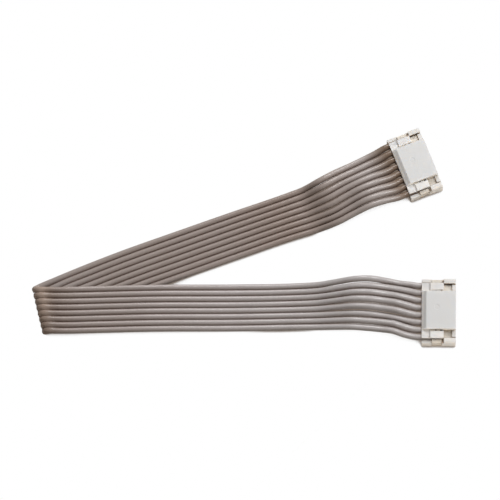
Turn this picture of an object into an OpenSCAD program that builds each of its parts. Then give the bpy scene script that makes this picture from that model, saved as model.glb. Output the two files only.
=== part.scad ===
// Eight-way ribbon cable, folded back on itself, with a crimp-free plug on each end.
// Millimetres, +Z up. The origin is the centre of plug 1's underside, on the table,
// and +X is the way that plug 1 mates. Wire 1 and contact 1 are on the +Y side.

/* [Contacts] */
// Distance from one contact to the next
pitch = 2; // [1.9:0.05:2.5]
// Side of the square pins that the plug takes
pin_w = 0.5; // [0.4:0.05:0.6]
// Thickness of the contact strip
strip_t = 0.2; // [0.15:0.01:0.22]
// Width of a contact
contact_w = 1.3; // [1.2:0.02:1.34]
// Height of the contact's spring box
box_h = 1.5; // [1.3:0.05:1.6]
// Length of the contact's spring box
box_len = 2.6; // [2.2:0.1:3]
// Distance between the two blades that cut into a wire
blade_gap = 1.7; // [1.2:0.1:1.9]
// From the cable face to the tail of a contact
tail_in = 1.3; // [1.2:0.05:1.4]

/* [Wires] */
// Diameter of the insulation
wire_d = 1.55; // [1.4:0.05:1.6]
// Diameter of the copper core
core_d = 0.5; // [0.35:0.05:0.55]
// Distance from one bonded wire to the next in the ribbon
ribbon_pitch = 1.6; // [1.6:0.02:1.7]
// Radius of the fold, at the middle of the wires
fold_r = 1.3; // [1.2:0.05:1.5]

/* [Plug housing] */
// Length of a plug, from its cable face to its mating face
plug_len = 8.9; // [8.6:0.1:10]
// From the outer contacts to the ends of a plug
end_margin = 1.7; // [1.6:0.05:2]
// Thickness of the housing under the contacts
floor_t = 0.6; // [0.5:0.05:0.8]
// Thickness of the mating face
face_t = 0.6; // [0.4:0.05:0.8]
// Thickness of the lips beside the plate, at the front
lip_t = 1; // [0.8:0.1:1.3]
// Height of the side rails at the front
rail_h = 3.8; // [3.4:0.1:4.2]
// Thickness of the side rails
rail_t = 1.3; // [1.1:0.05:1.4]
// Length of the side rails
rail_len = 3.1; // [2.6:0.1:3.4]
// Height of the wires' middle above the table, inside a plug
seat_h = 2.6; // [2.5:0.05:2.9]

/* [Plug cover] */
// Width of the raised plate
plate_w = 10.3; // [9:0.1:11]
// Height of the raised plate above the table
plate_h = 4.6; // [4.3:0.1:5]
// Length of the slope at the plate's cable edge
plate_slope = 1.2; // [0.6:0.1:1.6]
// Thickness of the shoulders beside the plate
shoulder_t = 1.2; // [1:0.05:1.4]
// Thickness of the wings over the outer contacts
wing_t = 0.25; // [0.2:0.05:0.5]
// Thickness of a latch leg
leg_t = 0.35; // [0.3:0.01:0.36]
// Length of a latch leg along the plug
leg_len = 2.5; // [1.8:0.1:3]

/* [Cable route] */
// Length of the arm from plug 1 to the fold
arm_1_len = 98.15; // [94:0.05:104]
// Length of the arm from the fold to plug 2
arm_2_len = 100.2; // [96:0.1:106]
// Turn of plug 2, in degrees
plug_2_turn = 22; // [21.5:0.1:22.5]

/* [Hidden] */
WIRES = 8;
fit = 0.05;
snug = 0.04;
cut = 0.1;
round_fn = 48;

plug_w = (WIRES - 1) * pitch + 2 * end_margin;
rear = -plug_len / 2;
front = plug_len / 2;
rail_x = front - rail_len;

// Contact, from its tail under the wire to the nose of its spring box
box_x1 = front - face_t - 0.1;
box_x0 = box_x1 - box_len;
tail_x = rear + tail_in;
blade_x = tail_x + 0.6;
blade_top = seat_h + 0.9;
slot_w = core_d + 2 * snug;
pin_z = floor_t + box_h / 2;
window_w = 0.8;
window_len = 1.4;
window_x = box_x0 + 0.5;

// Housing: pockets for the contacts, troughs for the wires, and where the cover meets it
pocket_w = contact_w + 4 * fit;
pocket_x0 = tail_x - 0.1;
pocket_x1 = front - face_t;
trough_r = wire_d / 2 + fit;
wire_end = box_x0 - 0.5;
part_z = seat_h + 0.2;
entry_w = pin_w + 0.15;
funnel = 0.25;

// Cover: plate, lower shoulders over the outer wires, wings over the outer contacts, legs
shoulder_h = part_z + shoulder_t;
notch_h = seat_h + wire_d / 2 + 0.3;
notch_len = 2.3;
ledge_w = 1.25;
shoulder_y = plug_w / 2 - ledge_w;
wing_h = part_z + wing_t;
slit_w = 0.3;
wing_y = plug_w / 2 - rail_t - slit_w;
lip_h = rail_h - 0.3;
gutter_w = 0.45;
gutter_depth = 0.4;
pit_w = 0.5;
pit_len = 0.6;
pit_x = rail_x - 0.35 - pit_len;
leg_y = plug_w / 2 - 0.15;
leg_x1 = rail_x - 0.6;
leg_x0 = leg_x1 - leg_len;
leg_z = 0.7;
barb = 0.15;
barb_h = 0.6;
mark_r = 0.7;
mark_depth = 0.04;
mark_at = [-0.5, 0.7];

// Ribbon. A row is [x, y, height, spread, swell, crest]: x and y of the ribbon's middle in
// the frame of the plug that it runs to, its height above lying flat, how far the wires
// have spread from ribbon_pitch (0) to pitch (1), and its share of each wire's own rise.
// Rows by a plug are measured from its cable face, and the others from the fold.
wire_rest = wire_d / 2;
bore_d = core_d + 2 * snug;
seat_rise = seat_h - wire_rest;
fold_1_x = rear - arm_1_len;
fold_2_x = rear - arm_2_len;
lower_rows = [
    [rear - 3.6, 0.4, seat_rise / 2, 1, 0, 0.45], [rear - 6.4, 0.85, 0, 0.9, 0, 1],
    [rear - 9.7, 1.3, 0, 0.8, 0.4, 0.55], [rear - 13.7, 1.55, 0, 0.65, 1, 0],
    [rear - 17.7, 1.65, 0, 0.5, 0.95, 0], [rear - 21.7, 1.65, 0, 0.3, 0.6, 0],
    [rear - 26.7, 1.6, 0, 0.1, 0.18, 0], [rear - 33.7, 1.45, 0.05, 0, 0, 0],
    [fold_1_x + 50.9, 0.95, 0.4, 0, 0, 0], [fold_1_x + 26.9, 0.2, 1.65, 0, 0, 0],
    [fold_1_x + 14.9, -0.25, 1.75, 0, 0, 0], [fold_1_x + 4.9, -0.75, 2.3, 0, 0, 0]
];
upper_rows = [
    [fold_2_x + 5.9, -0.4, 0, 0, 0, 0], [fold_2_x + 14.9, -0.1, 0, 0, 0, 0],
    [fold_2_x + 24.9, 0, 0, 0, 0, 0], [fold_2_x + 38.9, -0.25, 0, 0, 0, 0],
    [fold_2_x + 54.9, -0.6, 0, 0, 0, 0], [rear - 31.7, -1, 0, 0, 0, 0],
    [rear - 25.7, -1.25, 0, 0.15, 0.08, 0], [rear - 20.2, -1.5, 0, 0.4, 1, 0],
    [rear - 15.7, -0.95, 0, 0.5, 0.6, 0.4], [rear - 11.2, -0.65, 0, 0.65, 0, 1],
    [rear - 7, -0.5, 0, 0.85, 0, 0.95], [rear - 3.6, -0.4, seat_rise / 2, 1, 0, 0.45]
];
// How high each wire rises, in the long swell and in the crest nearer the plug
lower_swell = [5, 3.8, 4.8, 4.9, 4.1, 3.1, 3.4, 2.7];
lower_crest = [1.3, 2.2, 3, 3.6, 3.3, 2.4, 3.8, 3.7];
upper_swell = [2.6, 2.6, 2.2, 2.3, 2.1, 1.7, 2, 2.5];
upper_crest = [1.3, 1.7, 2.1, 3.2, 3.7, 3.8, 4.7, 4.2];
// Straight run of each wire outside a plug
lead = 0.8;
// Middle of the ribbon at the fold, its headings on the two sides of the fold, and plug 2
fold_at = [fold_1_x, -0.88];
lower_heading = 1;
upper_heading = plug_2_turn + 5;
plug_2_aside = 2.24;
plug_2_at = fold_at + turned([-fold_2_x, plug_2_aside], plug_2_turn);
fold_steps = 5;
// How far each wire slips along the fold line on its way round
slip = [0.6, 0.25, 0, 0, 0, 0, 0, 0];
wire_sides = 8;
core_sides = 6;

// Offset of wire or contact i across the ribbon, in pitches, positive for wire 1
function across(i) = (WIRES + 1) / 2 - i;

function unit(v) = v / norm(v);
function mix(a, b, t) = a + (b - a) * t;
function turned(v, a) = [v[0] * cos(a) - v[1] * sin(a), v[0] * sin(a) + v[1] * cos(a)];

// Last rows before a plug, straight in at the height of the seat
function plug_rows() = [for (x = [rear - lead, wire_end]) [x, 0, seat_rise, 1, 0, 0]];
function reversed(rows) = [for (k = [len(rows) - 1:-1:0]) rows[k]];

// One arm as [point, sideways direction] pairs for wire i, in the order of its rows.
// way is 1 if the rows run towards their plug and -1 if they run away from it.
function arm(rows, i, swell, crest, turn, at, way) = [
    for (k = [0:len(rows) - 1])
        let (
            a = rows[max(k - 1, 0)],
            b = rows[min(k + 1, len(rows) - 1)],
            inside = rows[k][0] >= rear - lead,
            head = inside ? [1, 0] : unit([b[0] - a[0], b[1] - a[1]]) * way,
            side = [-head[1], head[0]],
            step = mix(ribbon_pitch, pitch, rows[k][3]) * across(i),
            place = [rows[k][0], rows[k][1]] + side * step,
            rise = rows[k][2] + rows[k][4] * swell[i - 1] + rows[k][5] * crest[i - 1],
            flat = turned(place, turn) + at,
            aside = turned(side, turn)
        )
        [[flat[0], flat[1], wire_rest + rise], [aside[0], aside[1], 0]]
];

// The fold: every wire goes half round a level cylinder whose axis is the fold line
function fold(i) = let (
        across_fold = (lower_heading + upper_heading) / 2,
        skew = (upper_heading - lower_heading) / 2,
        along = [-sin(across_fold), cos(across_fold)],
        out = -[cos(across_fold), sin(across_fold)]
    ) [
        for (k = [0:fold_steps])
            let (
                a = 180 * k / fold_steps,
                slide = ribbon_pitch * across(i) / cos(skew)
                    + fold_r * a * PI / 180 * tan(skew) + slip[i - 1] * (1 - cos(a)) / 2,
                p = fold_at + along * slide + out * fold_r * sin(a)
            )
            [[p[0], p[1], wire_rest + fold_r * (1 + cos(a))], [along[0], along[1], 0]]
    ];

// The whole route of wire i, from plug 1 round the fold to plug 2
function route(i) = concat(
    arm(concat(reversed(plug_rows()), lower_rows), i, lower_swell, lower_crest, 0, [0, 0], -1),
    fold(i),
    arm(concat(upper_rows, plug_rows()), i, upper_swell, upper_crest,
        plug_2_turn, plug_2_at, 1)
);

function route_length(path, k = 1) =
    k >= len(path) ? 0 : norm(path[k][0] - path[k - 1][0]) + route_length(path, k + 1);

// A ring of points around a route, with the area of a circle of radius r
function ring(path, k, r, sides) = let (
        a = path[max(k - 1, 0)][0],
        b = path[min(k + 1, len(path) - 1)][0],
        ahead = unit(b - a),
        side = unit(path[k][1] - ahead * (path[k][1] * ahead)),
        up = cross(ahead, side),
        corner = r * sqrt(2 * PI / (sides * sin(360 / sides)))
    ) [
        for (j = [0:sides - 1])
            let (t = 360 * (j + 0.5) / sides)
            path[k][0] + (side * cos(t) + up * sin(t)) * corner
    ];

module rod(path, r, sides) {
    n = len(path);
    points = [for (k = [0:n - 1]) each ring(path, k, r, sides)];
    walls = [
        for (k = [0:n - 2], j = [0:sides - 1])
            let (a = k * sides + j, b = k * sides + (j + 1) % sides)
            [a, a + sides, b + sides, b]
    ];
    first = [for (j = [0:sides - 1]) j];
    last = [for (j = [0:sides - 1]) n * sides - 1 - j];
    polyhedron(points, concat(walls, [first, last]), convexity = 6);
}

// A hollow rod, whose bore is open at both ends
module tube(path, r, bore_r, sides) {
    n = len(path);
    m = n * sides;
    points = concat(
        [for (k = [0:n - 1]) each ring(path, k, r, sides)],
        [for (k = [0:n - 1]) each ring(path, k, bore_r, sides)]
    );
    walls = [
        for (k = [0:n - 2], j = [0:sides - 1])
            let (a = k * sides + j, b = k * sides + (j + 1) % sides)
            each [[a, a + sides, b + sides, b], [m + b, m + b + sides, m + a + sides, m + a]]
    ];
    ends = [
        for (j = [0:sides - 1])
            let (a = j, b = (j + 1) % sides, c = (n - 1) * sides)
            each [[a, b, m + b, m + a], [c + b, c + a, m + c + a, m + c + b]]
    ];
    polyhedron(points, concat(walls, ends), convexity = 8);
}

module at_plug(p) {
    if (p == 1) children();
    else translate([plug_2_at[0], plug_2_at[1], 0]) rotate(plug_2_turn) children();
}

module at_way(i) {
    translate([0, pitch * across(i), 0]) children();
}

module both_ends() {
    children();
    mirror([0, 1, 0]) children();
}

// A bar along X with a profile in the YZ plane, or along Y with one in the XZ plane
module along_x(x0, x1) {
    translate([x0, 0, 0]) rotate([90, 0, 90]) linear_extrude(x1 - x0) children();
}

module along_y(y0, y1) {
    translate([0, y1, 0]) rotate([90, 0, 0]) linear_extrude(y1 - y0) children();
}

module block(x0, x1, y0, y1, z0, z1) {
    translate([x0, y0, z0]) cube([x1 - x0, y1 - y0, z1 - z0]);
}

// The two tines of one blade, which stand either side of the core
module blade_tines(x, extra = 0) {
    along_x(x - extra, x + strip_t + extra) {
        difference() {
            polygon([
                [-contact_w / 2 - extra, floor_t], [contact_w / 2 + extra, floor_t],
                [contact_w / 2 + extra, blade_top - 0.2],
                [contact_w / 2 - 0.2 + extra, blade_top + extra],
                [-contact_w / 2 + 0.2 - extra, blade_top + extra],
                [-contact_w / 2 - extra, blade_top - 0.2]
            ]);
            polygon([
                [-slot_w / 2 + extra, seat_h - core_d], [slot_w / 2 - extra, seat_h - core_d],
                [slot_w / 2 - extra, blade_top - 0.35], [0.45, blade_top + cut],
                [-0.45, blade_top + cut], [-slot_w / 2 + extra, blade_top - 0.35]
            ]);
        }
    }
}

module wire(i) {
    color("gainsboro") difference() {
        tube(route(i), wire_d / 2, bore_d / 2, wire_sides);
        for (p = [1, 2], x = [blade_x, blade_x + blade_gap])
            at_plug(p) at_way(i) blade_tines(x, 0.005);
    }
}

module core(i) {
    color("peru") rod(route(i), core_d / 2, core_sides);
}

module contact() {
    color("silver") {
        // Strip under the wire, with its two blades
        block(tail_x, box_x0 + cut, -contact_w / 2, contact_w / 2, floor_t, floor_t + strip_t);
        for (x = [blade_x, blade_x + blade_gap]) blade_tines(x);
        // Spring box with a bent leaf under its roof
        difference() {
            block(box_x0, box_x1, -contact_w / 2, contact_w / 2, floor_t, floor_t + box_h);
            block(box_x0 - cut, box_x1 + cut, strip_t - contact_w / 2, contact_w / 2 - strip_t,
                floor_t + strip_t, floor_t + box_h - strip_t);
        }
        along_y(-0.3, 0.3) polygon([
            [box_x0 + 0.1, floor_t + box_h - strip_t], [box_x0 + box_len / 2, pin_z + pin_w / 2 - 0.05],
            [box_x1 - 0.3, floor_t + box_h - strip_t - 0.1], [box_x1 - 0.3, floor_t + box_h - strip_t],
            [box_x0 + box_len / 2, pin_z + pin_w / 2 + 0.05], [box_x0 + 0.5, floor_t + box_h - strip_t]
        ]);
        // Lance that locks into the window in the housing's floor
        along_y(-0.3, 0.3) polygon([
            [window_x + 0.15, floor_t + cut], [window_x + window_len - 0.35, floor_t + cut],
            [window_x + 0.25, floor_t - 0.35], [window_x + 0.1, floor_t - 0.3]
        ]);
    }
}

// Square way in for a pin, with a funnel in the mating face
module pin_entry() {
    translate([0, 0, pin_z]) {
        block(front - face_t - cut, front + cut, -entry_w / 2, entry_w / 2, -entry_w / 2, entry_w / 2);
        intersection() {
            along_y(-entry_w, entry_w) funnel_outline();
            rotate([90, 0, 0]) along_y(-entry_w, entry_w) funnel_outline();
        }
    }
}

module funnel_outline() {
    polygon([
        [front - funnel, -entry_w / 2], [front + cut, -entry_w / 2 - funnel - cut],
        [front + cut, entry_w / 2 + funnel + cut], [front - funnel, entry_w / 2]
    ]);
}

module housing() {
    color("whitesmoke") {
        difference() {
            block(rear, front, -plug_w / 2, plug_w / 2, 0, part_z);
            for (i = [1:WIRES]) at_way(i) {
                block(pocket_x0, pocket_x1, -pocket_w / 2, pocket_w / 2, floor_t, part_z + cut);
                along_x(rear - cut, wire_end + fit) {
                    translate([0, seat_h]) circle(trough_r, $fn = round_fn);
                    translate([-trough_r, seat_h]) square([2 * trough_r, part_z - seat_h + cut]);
                }
                pin_entry();
                block(window_x, window_x + window_len, -window_w / 2, window_w / 2,
                    -cut, floor_t + cut);
            }
            // Grooves for the cover's legs, each with a pocket for the barb
            both_ends() {
                block(leg_x0 - fit, leg_x1 + fit, leg_y - leg_t - fit, plug_w / 2 + cut,
                    leg_z - fit, part_z + cut);
                block(leg_x0 - fit, leg_x1 + fit, leg_y - leg_t - barb - fit, plug_w / 2,
                    leg_z - fit, leg_z + barb_h + fit);
            }
        }
        // Side rails, with their outer top edges sloped
        both_ends() along_x(rail_x, front) polygon([
            [plug_w / 2 - rail_t, part_z - cut], [plug_w / 2, part_z - cut],
            [plug_w / 2, rail_h - 0.3], [plug_w / 2 - 0.3, rail_h], [plug_w / 2 - rail_t, rail_h]
        ]);
        // Lips beside the plate, in front of the cover's wings
        both_ends() block(front - lip_t, front, plate_w / 2 + fit, wing_y, part_z - cut, lip_h);
    }
}

module cover() {
    color("white") difference() {
        union() {
            // Raised plate, sloped towards the cable
            along_y(-plate_w / 2, plate_w / 2) polygon([
                [rear, part_z], [front, part_z], [front, plate_h],
                [rear + plate_slope, plate_h], [rear, notch_h]
            ]);
            // Shoulders over the outer wires, lower at the cable edge
            along_y(-shoulder_y, shoulder_y) polygon([
                [rear, part_z], [rail_x - fit, part_z], [rail_x - fit, shoulder_h],
                [rear + notch_len, shoulder_h], [rear + notch_len - 0.3, notch_h], [rear, notch_h]
            ]);
            // Wings over the outer contacts
            block(rail_x - cut, front - lip_t - fit, -wing_y, wing_y, part_z, wing_h);
            // Latch legs, bent down over the housing's ledge, each with a barb at its foot
            both_ends() along_x(leg_x0, leg_x1) polygon([
                [shoulder_y - cut, part_z], [leg_y - leg_t, part_z],
                [leg_y - leg_t, leg_z + barb_h], [leg_y - leg_t - barb, leg_z + barb_h],
                [leg_y - leg_t, leg_z], [leg_y, leg_z], [leg_y, part_z + leg_t - 0.2],
                [leg_y - 0.2, part_z + leg_t], [shoulder_y - cut, part_z + leg_t]
            ]);
        }
        both_ends() {
            // Gutters beside the plate, each with a core hole near its front end
            block(rear + notch_len, rail_x + cut, plate_w / 2, plate_w / 2 + gutter_w,
                shoulder_h - gutter_depth, shoulder_h + cut);
            block(pit_x, pit_x + pit_len, plate_w / 2, plate_w / 2 + pit_w,
                part_z - cut, shoulder_h + cut);
        }
        for (i = [1:WIRES]) at_way(i) {
            along_x(rear - cut, wire_end + fit) {
                translate([0, seat_h]) circle(trough_r, $fn = round_fn);
            }
            for (x = [blade_x, blade_x + blade_gap])
                block(x - fit, x + strip_t + fit, -pocket_w / 2, pocket_w / 2,
                    part_z - cut, blade_top + 2 * fit);
        }
        // Shallow round mark of the mould's ejector
        translate([mark_at[0], mark_at[1], plate_h - mark_depth])
            cylinder(r = mark_r, h = mark_depth + cut, $fn = round_fn);
    }
}

for (i = [1:WIRES]) {
    wire(i);
    core(i);
}
for (p = [1, 2]) {
    at_plug(p) housing();
    at_plug(p) cover();
    for (i = [1:WIRES])
        at_plug(p) at_way(i) contact();
}
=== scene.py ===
import math

import bmesh
import bpy
from mathutils import Matrix, Vector


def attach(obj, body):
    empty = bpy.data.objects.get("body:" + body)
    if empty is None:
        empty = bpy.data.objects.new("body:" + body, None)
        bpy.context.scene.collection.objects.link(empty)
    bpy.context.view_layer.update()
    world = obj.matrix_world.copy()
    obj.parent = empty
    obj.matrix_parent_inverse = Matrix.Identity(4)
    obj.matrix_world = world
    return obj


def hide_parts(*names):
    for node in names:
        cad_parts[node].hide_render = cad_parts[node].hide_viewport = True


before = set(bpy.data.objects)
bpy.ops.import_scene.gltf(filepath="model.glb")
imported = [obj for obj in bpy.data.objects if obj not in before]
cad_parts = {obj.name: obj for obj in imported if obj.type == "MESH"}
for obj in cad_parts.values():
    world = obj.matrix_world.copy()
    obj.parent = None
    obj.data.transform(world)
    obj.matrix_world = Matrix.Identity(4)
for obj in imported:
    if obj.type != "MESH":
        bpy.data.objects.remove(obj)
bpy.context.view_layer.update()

# The photo's camera. It stands far off on the near side and looks down steeply, with a long lens.
# Its place was fitted to the corners of both plugs and to the ribbon's width.
MM = 0.001
CAMERA_AT = Vector((-34.5, -510.2, 1699.0)) * MM
CAMERA_TURN = math.radians(-1.62)
CAMERA_DOWN = math.radians(72.75)
CAMERA_ROLL = math.radians(-0.99)
SENSOR_MM = 36.0
PHOTO_PX = 500
FOCAL_PX = 6793

looks = Vector((
    math.sin(CAMERA_TURN) * math.cos(CAMERA_DOWN),
    math.cos(CAMERA_TURN) * math.cos(CAMERA_DOWN),
    -math.sin(CAMERA_DOWN),
))
level_right = looks.cross(Vector((0, 0, 1))).normalized()
level_up = level_right.cross(looks)
right = math.cos(CAMERA_ROLL) * level_right + math.sin(CAMERA_ROLL) * level_up
up = right.cross(looks)
camera_data = bpy.data.cameras.new("photo_camera")
camera_data.sensor_width = SENSOR_MM
camera_data.lens = FOCAL_PX * SENSOR_MM / PHOTO_PX
camera = bpy.data.objects.new("photo_camera", camera_data)
camera.matrix_world = Matrix.Translation(CAMERA_AT) @ Matrix((right, up, -looks)).transposed().to_4x4()
bpy.context.scene.collection.objects.link(camera)
bpy.context.scene.camera = camera

# The ribbon: eight round wires in soft grey vinyl, extruded side by side and bonded by a thin web.
# Near the plugs the web is torn down its middle, and the wires fan out, rise and dip into the
# covers. Each wire is one cord from plug to plug. The rows are those of the part's source, in
# millimetres: x, y, height, spread, share of the wire's swell, share of its crest.
BODY = "root"
WIRES = 8
WIRE_D = 1.55
RIBBON_PITCH = 1.6
PLUG_PITCH = 2.0
CABLE_FACE = -4.45
SEAT_RISE = 2.6 - WIRE_D / 2
WIRE_END = 0.65
LEAD = 0.8
FOLD_1_X = CABLE_FACE - 98.15
FOLD_2_X = CABLE_FACE - 100.2
LOWER_ROWS = [
    (CABLE_FACE - 3.6, 0.4, SEAT_RISE / 2, 1, 0, 0.45), (CABLE_FACE - 6.4, 0.85, 0, 0.9, 0, 1),
    (CABLE_FACE - 9.7, 1.3, 0, 0.8, 0.4, 0.55), (CABLE_FACE - 13.7, 1.55, 0, 0.65, 1, 0),
    (CABLE_FACE - 17.7, 1.65, 0, 0.5, 0.95, 0), (CABLE_FACE - 21.7, 1.65, 0, 0.3, 0.6, 0),
    (CABLE_FACE - 26.7, 1.6, 0, 0.1, 0.18, 0), (CABLE_FACE - 33.7, 1.45, 0.05, 0, 0, 0),
    (FOLD_1_X + 50.9, 0.95, 0.4, 0, 0, 0), (FOLD_1_X + 26.9, 0.2, 1.65, 0, 0, 0),
    (FOLD_1_X + 14.9, -0.25, 1.75, 0, 0, 0), (FOLD_1_X + 4.9, -0.75, 2.3, 0, 0, 0),
]
UPPER_ROWS = [
    (FOLD_2_X + 5.9, -0.4, 0, 0, 0, 0), (FOLD_2_X + 14.9, -0.1, 0, 0, 0, 0),
    (FOLD_2_X + 24.9, 0, 0, 0, 0, 0), (FOLD_2_X + 38.9, -0.25, 0, 0, 0, 0),
    (FOLD_2_X + 54.9, -0.6, 0, 0, 0, 0), (CABLE_FACE - 31.7, -1, 0, 0, 0, 0),
    (CABLE_FACE - 25.7, -1.25, 0, 0.15, 0.08, 0), (CABLE_FACE - 20.2, -1.5, 0, 0.4, 1, 0),
    (CABLE_FACE - 15.7, -0.95, 0, 0.5, 0.6, 0.4), (CABLE_FACE - 11.2, -0.65, 0, 0.65, 0, 1),
    (CABLE_FACE - 7, -0.5, 0, 0.85, 0, 0.95), (CABLE_FACE - 3.6, -0.4, SEAT_RISE / 2, 1, 0, 0.45),
]
LOWER_SWELL = (4.6, 4.25, 4.65, 4.7, 4.15, 3.3, 3.2, 2.85)
LOWER_CREST = (1.5, 2.4, 3, 3.5, 3.3, 2.5, 3.6, 3.7)
UPPER_SWELL = (2.6, 2.6, 2.2, 2.3, 2.1, 1.7, 2, 2.5)
UPPER_CREST = (1.3, 1.7, 2.1, 3.2, 3.7, 3.9, 4.5, 4.4)
FOLD_AT = Vector((FOLD_1_X, -0.88))
FOLD_R = 1.3
FOLD_STEPS = 5
FOLD_SLIP = (0.6, 0.25, 0, 0, 0, 0, 0, 0)
LOWER_HEADING = math.radians(1)
UPPER_HEADING = math.radians(27)
PLUG_2_TURN = math.radians(22)
PLUG_2_ASIDE = 2.24
PLUG_2_AT = FOLD_AT + Matrix.Rotation(PLUG_2_TURN, 2) @ Vector((-FOLD_2_X, PLUG_2_ASIDE))
RING_STEP = 0.7
RING_SIDES = 28
WEB_HALF = math.radians(6)
WEB_ROOT = math.radians(16)
TORN_GAP = 0.03
BARE_RUN = 1.2
FOLD_HALF = math.radians(50)
FOLD_ROOT = math.radians(64)
FOLD_FULL = 2.6
FOLD_END = 5.0
WIRE_GREY = (0.62, 0.593, 0.59)
WIRE_SHADE = (0.555, 0.525, 0.517)
# Painted shade in the valleys between the wires
VINYL_CREASE_SHADE = (0.76, 0.68, 0.64)
# Painted light and shade along the wires, by the share of the way from plug 1 to plug 2: a little darker
# near plug 1, lighter on the lower hump and just before plug 2, darker round the fold, along the upper arm
# and deep in plug 2's mouth
PAINTED_LIGHT_ALONG = (
    (0.06, (0.91, 0.91, 0.91)),
    (0.105, (0.98, 0.99, 1)),
    (0.14, (0.97, 0.98, 0.99)),
    (0.18, (0.89, 0.88, 0.88)),
    (0.26, (0.88, 0.86, 0.86)),
    (0.4, (0.765, 0.71, 0.68)),
    (0.445, (0.7, 0.64, 0.605)),
    (0.462, (0.64, 0.57, 0.525)),
    (0.474, (0.53, 0.455, 0.41)),
    (0.482, (0.56, 0.465, 0.395)),
    (0.49, (0.8, 0.66, 0.55)),
    (0.505, (0.75, 0.66, 0.6)),
    (0.525, (0.72, 0.67, 0.64)),
    (0.6, (0.7, 0.64, 0.6)),
    (0.74, (0.655, 0.59, 0.55)),
    (0.82, (0.59, 0.505, 0.45)),
    (0.88, (0.675, 0.61, 0.565)),
    (0.94, (0.82, 0.785, 0.76)),
    (0.968, (0.38, 0.29, 0.215)),
)


def mix(a, b, share):
    return a + (b - a) * share


def turned(v, angle):
    return Matrix.Rotation(angle, 2) @ v


def across(wire):
    return (WIRES + 1) / 2 - wire


def arm(rows, wire, swell, crest, turn, at, way):
    """Points of one arm: each is (place, side, heading or None, half gap to the next wire)."""
    seated = [(x, 0, SEAT_RISE, 1, 0, 0) for x in (CABLE_FACE - LEAD, WIRE_END)]
    rows = rows + seated if way > 0 else seated[::-1] + rows
    points = []
    for k, (x, y, height, spread, swell_share, crest_share) in enumerate(rows):
        before, after = rows[max(k - 1, 0)], rows[min(k + 1, len(rows) - 1)]
        inside = x >= CABLE_FACE - LEAD
        heading = Vector((after[0] - before[0], after[1] - before[1])).normalized() * way
        if inside:
            heading = Vector((1, 0))
        side = Vector((-heading.y, heading.x))
        gap = mix(RIBBON_PITCH, PLUG_PITCH, spread)
        flat = turned(Vector((x, y)) + side * gap * across(wire), turn) + at
        rise = height + swell_share * swell[wire - 1] + crest_share * crest[wire - 1]
        side = turned(side, turn)
        ahead = turned(heading * way, turn)
        points.append((
            Vector((*flat, WIRE_D / 2 + rise)),
            Vector((*side, 0)),
            Vector((*ahead, 0)) if inside else None,
            gap / 2,
        ))
    return points


def fold(wire):
    """Points of one wire half round the fold, which is a level cylinder."""
    middle = (LOWER_HEADING + UPPER_HEADING) / 2
    skew = (UPPER_HEADING - LOWER_HEADING) / 2
    along = Vector((-math.sin(middle), math.cos(middle)))
    out = -Vector((math.cos(middle), math.sin(middle)))
    points = []
    for k in range(FOLD_STEPS + 1):
        a = math.pi * k / FOLD_STEPS
        slide = RIBBON_PITCH * across(wire) / math.cos(skew) + FOLD_R * a * math.tan(skew)
        slide += FOLD_SLIP[wire - 1] * (1 - math.cos(a)) / 2
        flat = FOLD_AT + along * slide + out * FOLD_R * math.sin(a)
        flow = along * math.tan(skew) + out * math.cos(a)
        points.append((
            Vector((*flat, WIRE_D / 2 + FOLD_R * (1 + math.cos(a)))),
            Vector((*along, 0)),
            Vector((*flow, -math.sin(a))),
            RIBBON_PITCH / 2,
        ))
    return points


def smooth_route(wire):
    """The wire's route as rings: each is (place, side, ahead, half gap)."""
    points = arm(LOWER_ROWS, wire, LOWER_SWELL, LOWER_CREST, 0, Vector((0, 0)), -1)
    points += fold(wire)
    points += arm(UPPER_ROWS, wire, UPPER_SWELL, UPPER_CREST, PLUG_2_TURN, PLUG_2_AT, 1)
    flows = []
    for k, (place, side, ahead, gap) in enumerate(points):
        if ahead is None:
            back, on = place - points[k - 1][0], points[k + 1][0] - place
            ahead = back.normalized() * on.length + on.normalized() * back.length
        flows.append(ahead.normalized())
    rings = []
    for k in range(len(points) - 1):
        (a, side_a, _, gap_a), (b, side_b, _, gap_b) = points[k], points[k + 1]
        span = (b - a).length
        steps = max(2, math.ceil(span / RING_STEP))
        for s in range(steps + (k == len(points) - 2)):
            t = s / steps
            ease = t * t * (3 - 2 * t)
            place = mix(a, b, ease) + span * t * (1 - t) * (flows[k] * (1 - t) - flows[k + 1] * t)
            place.z = max(place.z, WIRE_D / 2)
            ahead = 6 * t * (1 - t) * (b - a) + span * (
                flows[k] * (1 - t) * (1 - 3 * t) + flows[k + 1] * t * (3 * t - 2))
            rings.append((place, mix(side_a, side_b, t), ahead.normalized(), mix(gap_a, gap_b, t)))
    return rings


def section(angle, reach, bond):
    """A point of the wire's section: round, with a web that reaches for the next wire.
    The web is thin in the flat ribbon (bond 0) and drawn out thick round the fold (bond 1)."""
    radius = WIRE_D / 2
    x, y = radius * math.cos(angle), radius * math.sin(angle)
    off = abs(math.asin(max(-1.0, min(1.0, y / radius))))
    half, root = mix(WEB_HALF, FOLD_HALF, bond), mix(WEB_ROOT, FOLD_ROOT, bond)
    share = max(0.0, min(1.0, (root - off) / (root - half)))
    web = mix(abs(x), reach, share * share) if reach > abs(x) else abs(x)
    return math.copysign(web, x), y


def web_reach(gap, to_plug):
    """How far a wire's web reaches sideways: torn webs stop short, and end before the plug."""
    torn = TORN_GAP * min(1.0, (gap - RIBBON_PITCH / 2) / TORN_GAP)
    bare = max(0.0, min(1.0, (to_plug - LEAD) / BARE_RUN))
    return mix(WIRE_D / 2, gap - torn, bare)


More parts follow.
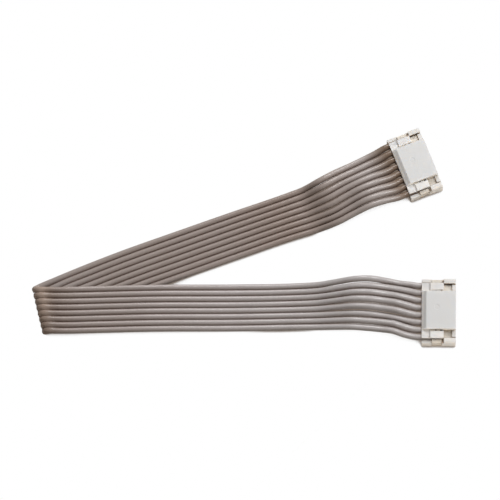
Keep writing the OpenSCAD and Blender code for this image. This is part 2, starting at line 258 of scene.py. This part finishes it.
def grain_group():
    """Cloudy colour, uneven gloss and fine bumps, for every moulded, drawn or rolled surface."""
    group = bpy.data.node_groups.new("surface_grain", "ShaderNodeTree")
    for name, kind, value in (
        ("Light colour", "NodeSocketColor", (1, 1, 1, 1)),
        ("Dark colour", "NodeSocketColor", (0, 0, 0, 1)),
        ("Patch scale", "NodeSocketFloat", 200),
        ("Grain scale", "NodeSocketFloat", 4000),
        ("Smoothest", "NodeSocketFloat", 0.3),
        ("Roughest", "NodeSocketFloat", 0.5),
    ):
        socket = group.interface.new_socket(name, in_out="INPUT", socket_type=kind)
        socket.default_value = value
    for name, kind in (("Colour", "NodeSocketColor"), ("Roughness", "NodeSocketFloat"),
                       ("Height", "NodeSocketFloat")):
        group.interface.new_socket(name, in_out="OUTPUT", socket_type=kind)
    nodes, links = group.nodes, group.links
    given, result = nodes.new("NodeGroupInput"), nodes.new("NodeGroupOutput")
    place = nodes.new("ShaderNodeTexCoord")
    patches, grain = nodes.new("ShaderNodeTexNoise"), nodes.new("ShaderNodeTexNoise")
    patches.inputs["Detail"].default_value = 4
    grain.inputs["Detail"].default_value = 3
    tint = nodes.new("ShaderNodeMix")
    tint.data_type = "RGBA"
    gloss = nodes.new("ShaderNodeMapRange")
    for noise, scale in ((patches, "Patch scale"), (grain, "Grain scale")):
        links.new(place.outputs["Object"], noise.inputs["Vector"])
        links.new(given.outputs[scale], noise.inputs["Scale"])
    links.new(patches.outputs["Fac"], tint.inputs["Factor"])
    links.new(given.outputs["Dark colour"], tint.inputs["A"])
    links.new(given.outputs["Light colour"], tint.inputs["B"])
    links.new(grain.outputs["Fac"], gloss.inputs["Value"])
    links.new(given.outputs["Smoothest"], gloss.inputs["To Min"])
    links.new(given.outputs["Roughest"], gloss.inputs["To Max"])
    links.new(tint.outputs["Result"], result.inputs["Colour"])
    links.new(gloss.outputs["Result"], result.inputs["Roughness"])
    links.new(grain.outputs["Fac"], result.inputs["Height"])
    return group


SURFACE_GRAIN = grain_group()


def grained(name, light, dark, patch, grain, smoothest, roughest, bump):
    """A material whose colour, gloss and fine relief come from the grain group."""
    material = bpy.data.materials.new(name)
    material.use_nodes = True
    nodes, links = material.node_tree.nodes, material.node_tree.links
    shader = nodes["Principled BSDF"]
    surface = nodes.new("ShaderNodeGroup")
    surface.node_tree = SURFACE_GRAIN
    surface.inputs["Light colour"].default_value = (*light, 1)
    surface.inputs["Dark colour"].default_value = (*dark, 1)
    surface.inputs["Patch scale"].default_value = patch
    surface.inputs["Grain scale"].default_value = grain
    surface.inputs["Smoothest"].default_value = smoothest
    surface.inputs["Roughest"].default_value = roughest
    relief = nodes.new("ShaderNodeBump")
    relief.inputs["Strength"].default_value = 0.4
    relief.inputs["Distance"].default_value = bump
    links.new(surface.outputs["Colour"], shader.inputs["Base Color"])
    links.new(surface.outputs["Roughness"], shader.inputs["Roughness"])
    links.new(surface.outputs["Height"], relief.inputs["Height"])
    links.new(relief.outputs["Normal"], shader.inputs["Normal"])
    return material


def crease_group():
    """Paints shade into a colour in creases and narrow gaps: the colour turns towards a tint where ambient
    occlusion finds the surface closed in.
    """
    group = bpy.data.node_groups.new("crease_shade", "ShaderNodeTree")
    for name, kind, value in (
        ("Colour", "NodeSocketColor", (1, 1, 1, 1)),
        ("Crease shade tint", "NodeSocketColor", (0.6, 0.5, 0.4, 1)),
        ("Reach", "NodeSocketFloat", 0.001),
        ("Closed", "NodeSocketFloat", 0.3),
        ("Open", "NodeSocketFloat", 0.8),
    ):
        socket = group.interface.new_socket(name, in_out="INPUT", socket_type=kind)
        socket.default_value = value
    group.interface.new_socket("Colour", in_out="OUTPUT", socket_type="NodeSocketColor")
    nodes, links = group.nodes, group.links
    given, result = nodes.new("NodeGroupInput"), nodes.new("NodeGroupOutput")
    sky, ramp = nodes.new("ShaderNodeAmbientOcclusion"), nodes.new("ShaderNodeMapRange")
    shade_mix, shading = nodes.new("ShaderNodeMix"), nodes.new("ShaderNodeMix")
    shade_mix.data_type = shading.data_type = "RGBA"
    shade_mix.inputs["B"].default_value = (1, 1, 1, 1)
    shading.blend_type = "MULTIPLY"
    shading.inputs["Factor"].default_value = 1
    links.new(given.outputs["Reach"], sky.inputs["Distance"])
    links.new(sky.outputs["AO"], ramp.inputs["Value"])
    links.new(given.outputs["Closed"], ramp.inputs["From Min"])
    links.new(given.outputs["Open"], ramp.inputs["From Max"])
    links.new(ramp.outputs["Result"], shade_mix.inputs["Factor"])
    links.new(given.outputs["Crease shade tint"], shade_mix.inputs["A"])
    links.new(given.outputs["Colour"], shading.inputs["A"])
    links.new(shade_mix.outputs["Result"], shading.inputs["B"])
    links.new(shading.outputs["Result"], result.inputs["Colour"])
    return group


CREASE_SHADE_GROUP = crease_group()


def crease_shaded(material, crease_tint, reach, closed, open_side):
    """Puts the painted crease shade group between a material's colour and its shader."""
    nodes, links = material.node_tree.nodes, material.node_tree.links
    base = nodes["Principled BSDF"].inputs["Base Color"]
    shading = nodes.new("ShaderNodeGroup")
    shading.node_tree = CREASE_SHADE_GROUP
    shading.inputs["Crease shade tint"].default_value = (*crease_tint, 1)
    shading.inputs["Reach"].default_value = reach
    shading.inputs["Closed"].default_value = closed
    shading.inputs["Open"].default_value = open_side
    links.new(base.links[0].from_socket, shading.inputs["Colour"])
    links.new(shading.outputs["Colour"], base)


def finished(name, mesh, material):
    """Links a new piece whose place is in its mesh, and lets it ride on the cable."""
    piece = bpy.data.objects.new(name, mesh)
    mesh.materials.clear()
    mesh.materials.append(material)
    bpy.context.scene.collection.objects.link(piece)
    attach(piece, BODY)
    return piece


vinyl = grained("grey_vinyl", WIRE_GREY, WIRE_SHADE, 160, 2500, 0.23, 0.31, 0.01 * MM)
nodes, links = vinyl.node_tree.nodes, vinyl.node_tree.links
# The painted light and shade along the wires is multiplied into their colour
along, part_way, tint = nodes.new("ShaderNodeUVMap"), nodes.new("ShaderNodeSeparateXYZ"), nodes.new("ShaderNodeMix")
painted_light = nodes.new("ShaderNodeValToRGB")
stops = painted_light.color_ramp.elements
stops[0].position, stops[0].color = PAINTED_LIGHT_ALONG[0][0], (*PAINTED_LIGHT_ALONG[0][1], 1)
stops[1].position, stops[1].color = PAINTED_LIGHT_ALONG[-1][0], (*PAINTED_LIGHT_ALONG[-1][1], 1)
for position, colour in PAINTED_LIGHT_ALONG[1:-1]:
    stops.new(position).color = (*colour, 1)
tint.data_type = "RGBA"
tint.blend_type = "MULTIPLY"
tint.inputs["Factor"].default_value = 1
surface = next(node for node in nodes if node.type == "GROUP")
links.new(along.outputs["UV"], part_way.inputs["Vector"])
links.new(part_way.outputs["Y"], painted_light.inputs["Fac"])
links.new(surface.outputs["Colour"], tint.inputs["A"])
links.new(painted_light.outputs["Color"], tint.inputs["B"])
links.new(tint.outputs["Result"], nodes["Principled BSDF"].inputs["Base Color"])
# Painted shade where the wires close in on each other
crease_shaded(vinyl, VINYL_CREASE_SHADE, 1.0 * MM, 0.35, 1)
for wire in range(1, WIRES + 1):
    rings = smooth_route(wire)
    bm = bmesh.new()
    uv_layer = bm.loops.layers.uv.new("UVMap")
    bmesh.ops.create_grid(bm, x_segments=RING_SIDES, y_segments=len(rings) - 1, size=0.5)
    run = [0.0]
    for (a, *_), (b, *_) in zip(rings, rings[1:]):
        run.append(run[-1] + (b - a).length)
    fold_run = run[min(range(len(rings)), key=lambda k: rings[k][0].x)]
    for face in bm.faces:
        for loop in face.loops:
            k = round((loop.vert.co.y + 0.5) * (len(rings) - 1))
            loop[uv_layer].uv = (loop.vert.co.x + 0.5, run[k] / run[-1])
    for vert in bm.verts:
        angle = 2 * math.pi * (vert.co.x + 0.5)
        k = round((vert.co.y + 0.5) * (len(rings) - 1))
        place, side, ahead, gap = rings[k]
        side = (side - ahead * side.dot(ahead)).normalized()
        lift = ahead.cross(side)
        facing = 1 if math.cos(angle) > 0 else -1
        to_plug = min(run[k], run[-1] - run[k]) + CABLE_FACE - WIRE_END
        reach = web_reach(gap, to_plug) if 1 <= wire - facing <= WIRES else 0
        bond = max(0.0, min(1.0, (FOLD_END - abs(run[k] - fold_run)) / (FOLD_END - FOLD_FULL)))
        x, y = section(angle, reach, bond)
        vert.co = (place + side * x + lift * y) * MM
    bmesh.ops.remove_doubles(bm, verts=bm.verts, dist=0.001 * MM)
    bmesh.ops.holes_fill(bm, edges=[e for e in bm.edges if e.is_boundary], sides=0)
    bmesh.ops.recalc_face_normals(bm, faces=bm.faces)
    for face in bm.faces:
        face.smooth = len(face.verts) == 4
    mesh = bpy.data.meshes.new(f"wire_{wire}_insulation")
    bm.to_mesh(mesh)
    bm.free()
    piece = finished(f"wire_{wire}_insulation", mesh, vinyl)
    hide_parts(f"wire_{wire}")

# Copper cores, one in each wire. No end of one shows, because both ends are inside the plugs.
copper = grained("copper", (0.75, 0.42, 0.28), (0.66, 0.34, 0.2), 900, 6000, 0.22, 0.38, 0.004 * MM)
copper.node_tree.nodes["Principled BSDF"].inputs["Metallic"].default_value = 1
for wire in range(1, WIRES + 1):
    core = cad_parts[f"core_{wire}"]
    core.data.materials.clear()
    core.data.materials.append(copper)

# Plug housings and covers, moulded in natural white nylon. The cover is pressed onto the housing
# over the wires, and its legs latch in the housing's sides. Every moulded edge is slightly round.
COVER_WHITE = (0.795, 0.81, 0.815)
COVER_SHADE = (0.77, 0.78, 0.78)
HOUSING_WHITE = (0.87, 0.86, 0.835)
HOUSING_SHADE = (0.84, 0.825, 0.79)
NYLON_GLOW = 0.6
NYLON_DEPTH = 0.9
# Painted shade in the nylon's creases and gaps; on the housing it reaches further, over its near ledge and foot
COVER_CREASE_SHADE = (0.96, 0.93, 0.89)
HOUSING_CREASE_SHADE = (0.68, 0.59, 0.5)
# Painted light and shade on the cover by height: the rim below the plate is painted lighter than the plate, and the
# legs below the parting line a darker tan
COVER_RIM_LIT = (0.95, 0.93, 0.90)
COVER_LEG_SHADE = (0.84, 0.77, 0.675)
PART_FROM, PART_TO = 3.4, 3.5
PLATE_FROM, PLATE_TO = 4.05, 4.12
MOULD_EDGE = 0.07
EDGE_TURN = math.radians(30)


def rounded_copy(node, name, width, material):
    """A merged copy of a node with its sharp edges rounded, which stands for the node."""
    bm = bmesh.new()
    bm.from_mesh(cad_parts[node].data)
    bmesh.ops.remove_doubles(bm, verts=bm.verts, dist=0.0005 * MM)
    bmesh.ops.dissolve_limit(bm, angle_limit=math.radians(0.5), verts=bm.verts, edges=bm.edges)
    for face in bm.faces:
        face.smooth = True
    mesh = bpy.data.meshes.new(name)
    bm.to_mesh(mesh)
    bm.free()
    if "custom_normal" in mesh.attributes:
        mesh.attributes.remove(mesh.attributes["custom_normal"])
    mesh.set_sharp_from_angle(angle=EDGE_TURN)
    piece = finished(name, mesh, material)
    bevel = piece.modifiers.new("rounded_edges", "BEVEL")
    bevel.width = width * MM
    bevel.segments = 2
    bevel.limit_method = "ANGLE"
    bevel.angle_limit = EDGE_TURN
    bevel.harden_normals = True
    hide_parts(node)
    return piece


nylons = {
    "housing": grained("housing_nylon", HOUSING_WHITE, HOUSING_SHADE, 120, 3000, 0.36, 0.5, 0.01 * MM),
    "cover": grained("cover_nylon", COVER_WHITE, COVER_SHADE, 120, 3000, 0.36, 0.5, 0.01 * MM),
}
for nylon in nylons.values():
    shader = nylon.node_tree.nodes["Principled BSDF"]
    shader.inputs["Subsurface Weight"].default_value = NYLON_GLOW
    shader.inputs["Subsurface Radius"].default_value = (1.0, 0.93, 0.85)
    shader.inputs["Subsurface Scale"].default_value = NYLON_DEPTH * MM
cover_nylon = nylons["cover"]
# Painted light on the cover's rim and painted shade on its legs, chosen by height
nodes, links = cover_nylon.node_tree.nodes, cover_nylon.node_tree.links
place, height, plate_mask = nodes.new("ShaderNodeTexCoord"), nodes.new("ShaderNodeSeparateXYZ"), nodes.new("ShaderNodeMapRange")
rim = nodes.new("ShaderNodeMix")
rim.data_type = "RGBA"
leg, latch = nodes.new("ShaderNodeMix"), nodes.new("ShaderNodeMapRange")
leg.data_type = "RGBA"
leg.inputs["A"].default_value = (*COVER_LEG_SHADE, 1)
leg.inputs["B"].default_value = (*COVER_RIM_LIT, 1)
latch.inputs["From Min"].default_value = PART_FROM * MM
latch.inputs["From Max"].default_value = PART_TO * MM
links.new(height.outputs["Z"], latch.inputs["Value"])
links.new(latch.outputs["Result"], leg.inputs["Factor"])
links.new(leg.outputs["Result"], rim.inputs["A"])
plate_mask.inputs["From Min"].default_value = PLATE_FROM * MM
plate_mask.inputs["From Max"].default_value = PLATE_TO * MM
base = nodes["Principled BSDF"].inputs["Base Color"]
links.new(place.outputs["Object"], height.inputs["Vector"])
links.new(height.outputs["Z"], plate_mask.inputs["Value"])
links.new(plate_mask.outputs["Result"], rim.inputs["Factor"])
links.new(base.links[0].from_socket, rim.inputs["B"])
links.new(rim.outputs["Result"], base)
# Painted crease shade on both nylons
crease_shaded(cover_nylon, COVER_CREASE_SHADE, 1.0 * MM, 0.35, 0.8)
crease_shaded(nylons["housing"], HOUSING_CREASE_SHADE, 2.5 * MM, 0.4, 0.8)
mouldings = {1: [], 2: []}
for plug in (1, 2):
    for kind in ("housing", "cover"):
        node = f"plug_{plug}_{kind}"
        piece = rounded_copy(node, f"{node}_moulding", MOULD_EDGE, nylons[kind])
        mouldings[plug].append(piece)

# Contacts, stamped and bent from thin tin-plated spring bronze. Each drops into a pocket of the
# housing, where its lance locks it. Its forks clasp the core, and its box takes the header's pin.
tin = grained("tin_plate", (0.74, 0.73, 0.70), (0.62, 0.61, 0.58), 1200, 7000, 0.2, 0.4, 0.003 * MM)
tin.node_tree.nodes["Principled BSDF"].inputs["Metallic"].default_value = 1
for plug in (1, 2):
    for way in range(1, WIRES + 1):
        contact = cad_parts[f"plug_{plug}_contact_{way}"]
        contact.data.materials.clear()
        contact.data.materials.append(tin)

# A plain white table in a studio. The camera sees it as white paper with painted shadow, darker only right
# under the cable and in a thin line at the feet away from the key, while it throws a little warm light back at the
# undersides.
FLOOR_SIZE = 6.0
FLOOR_GAP = 0.02
TABLE_BOUNCE = (0.5, 0.46, 0.42)
TABLE_SHADE = (0.20, 0.16, 0.13)
SHADE_REACH = 8
SHADE_FROM = 0.28
SHADE_TO = 0.49
FOOT_REACH = 1.0
FOOT_SIDE = (0.35, 0.75, 0.56)
FOOT_FROM = 0.35
FOOT_TO = 0.65

bm = bmesh.new()
bmesh.ops.create_grid(bm, x_segments=1, y_segments=1, size=FLOOR_SIZE / 2)
bmesh.ops.translate(bm, verts=bm.verts, vec=(0, 0, -FLOOR_GAP * MM))
floor_mesh = bpy.data.meshes.new("table")
bm.to_mesh(floor_mesh)
bm.free()
floor = bpy.data.objects.new("table", floor_mesh)
bpy.context.scene.collection.objects.link(floor)

table_white = bpy.data.materials.new("table_white")
table_white.use_nodes = True
nodes, links = table_white.node_tree.nodes, table_white.node_tree.links
nodes.clear()
ray, open_sky = nodes.new("ShaderNodeLightPath"), nodes.new("ShaderNodeAmbientOcclusion")
open_sky.inputs["Distance"].default_value = SHADE_REACH * MM
paper, shade = nodes.new("ShaderNodeMapRange"), nodes.new("ShaderNodeMix")
paper.interpolation_type = "SMOOTHERSTEP"
paper.inputs["From Min"].default_value = SHADE_FROM
paper.inputs["From Max"].default_value = SHADE_TO
shade.data_type = "RGBA"
shade.inputs["A"].default_value = (*TABLE_SHADE, 1)
shade.inputs["B"].default_value = (1, 1, 1, 1)
seen, bounce = nodes.new("ShaderNodeEmission"), nodes.new("ShaderNodeBsdfDiffuse")
bounce.inputs["Color"].default_value = (*TABLE_BOUNCE, 1)
pick, surface_out = nodes.new("ShaderNodeMixShader"), nodes.new("ShaderNodeOutputMaterial")
# A thin painted contact shadow at the feet, on the side away from the key
foot_sky, foot = nodes.new("ShaderNodeAmbientOcclusion"), nodes.new("ShaderNodeMapRange")
key_side, darker = nodes.new("ShaderNodeCombineXYZ"), nodes.new("ShaderNodeMath")
foot_sky.inputs["Distance"].default_value = FOOT_REACH * MM
foot.interpolation_type = "SMOOTHERSTEP"
foot.inputs["From Min"].default_value = FOOT_FROM
foot.inputs["From Max"].default_value = FOOT_TO
for axis, part in zip("XYZ", FOOT_SIDE):
    key_side.inputs[axis].default_value = part
darker.operation = "MINIMUM"
links.new(key_side.outputs["Vector"], foot_sky.inputs["Normal"])
links.new(foot_sky.outputs["AO"], foot.inputs["Value"])
links.new(open_sky.outputs["AO"], paper.inputs["Value"])
links.new(paper.outputs["Result"], darker.inputs[0])
links.new(foot.outputs["Result"], darker.inputs[1])
links.new(darker.outputs["Value"], shade.inputs["Factor"])
links.new(shade.outputs["Result"], seen.inputs["Color"])
links.new(ray.outputs["Is Camera Ray"], pick.inputs["Fac"])
links.new(bounce.outputs["BSDF"], pick.inputs[1])
links.new(seen.outputs["Emission"], pick.inputs[2])
links.new(pick.outputs["Shader"], surface_out.inputs["Surface"])
floor_mesh.materials.append(table_white)

# Studio light: the key stands over the far right, a strip high over the far side draws the long
# highlights on the wires, and the room adds a low, warm fill.
LAMPS = (
    ("key", (0.35, 0.29, 0.48), 0.34, 2.7, (0.985, 0.99, 1.0)),
    ("strip", (-0.045, 0.32, 0.26), 0.12, 0.54, (1.0, 0.98, 0.975)),
    ("window", (0.12, -0.46, 0.15), 0.25, 0.2, (1.0, 0.93, 0.84)),
    ("card", (0.10, -0.5, 0.07), 0.25, 1.4, (1.0, 0.95, 0.88)),
)
LIT_SPOT = Vector((-0.03, 0.015, 0))
FILL_COLOUR = (1.0, 0.88, 0.78)
FILL_STRENGTH = 0.16
for name, place, size, watts, colour in LAMPS:
    lamp_data = bpy.data.lights.new(name, "AREA")
    lamp_data.shape = "DISK"
    lamp_data.size = size
    lamp_data.energy = watts
    lamp_data.color = colour
    lamp = bpy.data.objects.new(name, lamp_data)
    aim = LIT_SPOT - Vector(place)
    turn = aim.to_track_quat("-Z", "Y").to_matrix().to_4x4()
    lamp.matrix_world = Matrix.Translation(place) @ turn
    bpy.context.scene.collection.objects.link(lamp)
    if name == "card":
        lit = bpy.data.collections.new("lit_by_card")
        for piece in mouldings[1] + mouldings[2]:
            lit.objects.link(piece)
        lamp.light_linking.receiver_collection = lit

world = bpy.data.worlds.new("studio")
bpy.context.scene.world = world
world.use_nodes = True
nodes, links = world.node_tree.nodes, world.node_tree.links
nodes.clear()
ray = nodes.new("ShaderNodeLightPath")
fill = nodes.new("ShaderNodeBackground")
fill.inputs["Color"].default_value = (*FILL_COLOUR, 1)
fill.inputs["Strength"].default_value = FILL_STRENGTH
white = nodes.new("ShaderNodeBackground")
pick = nodes.new("ShaderNodeMixShader")
world_out = nodes.new("ShaderNodeOutputWorld")
white.inputs["Color"].default_value = (1, 1, 1, 1)
links.new(ray.outputs["Is Camera Ray"], pick.inputs["Fac"])
links.new(fill.outputs["Background"], pick.inputs[1])
links.new(white.outputs["Background"], pick.inputs[2])
links.new(pick.outputs["Shader"], world_out.inputs["Surface"])
bpy.context.scene.view_settings.view_transform = "Standard"
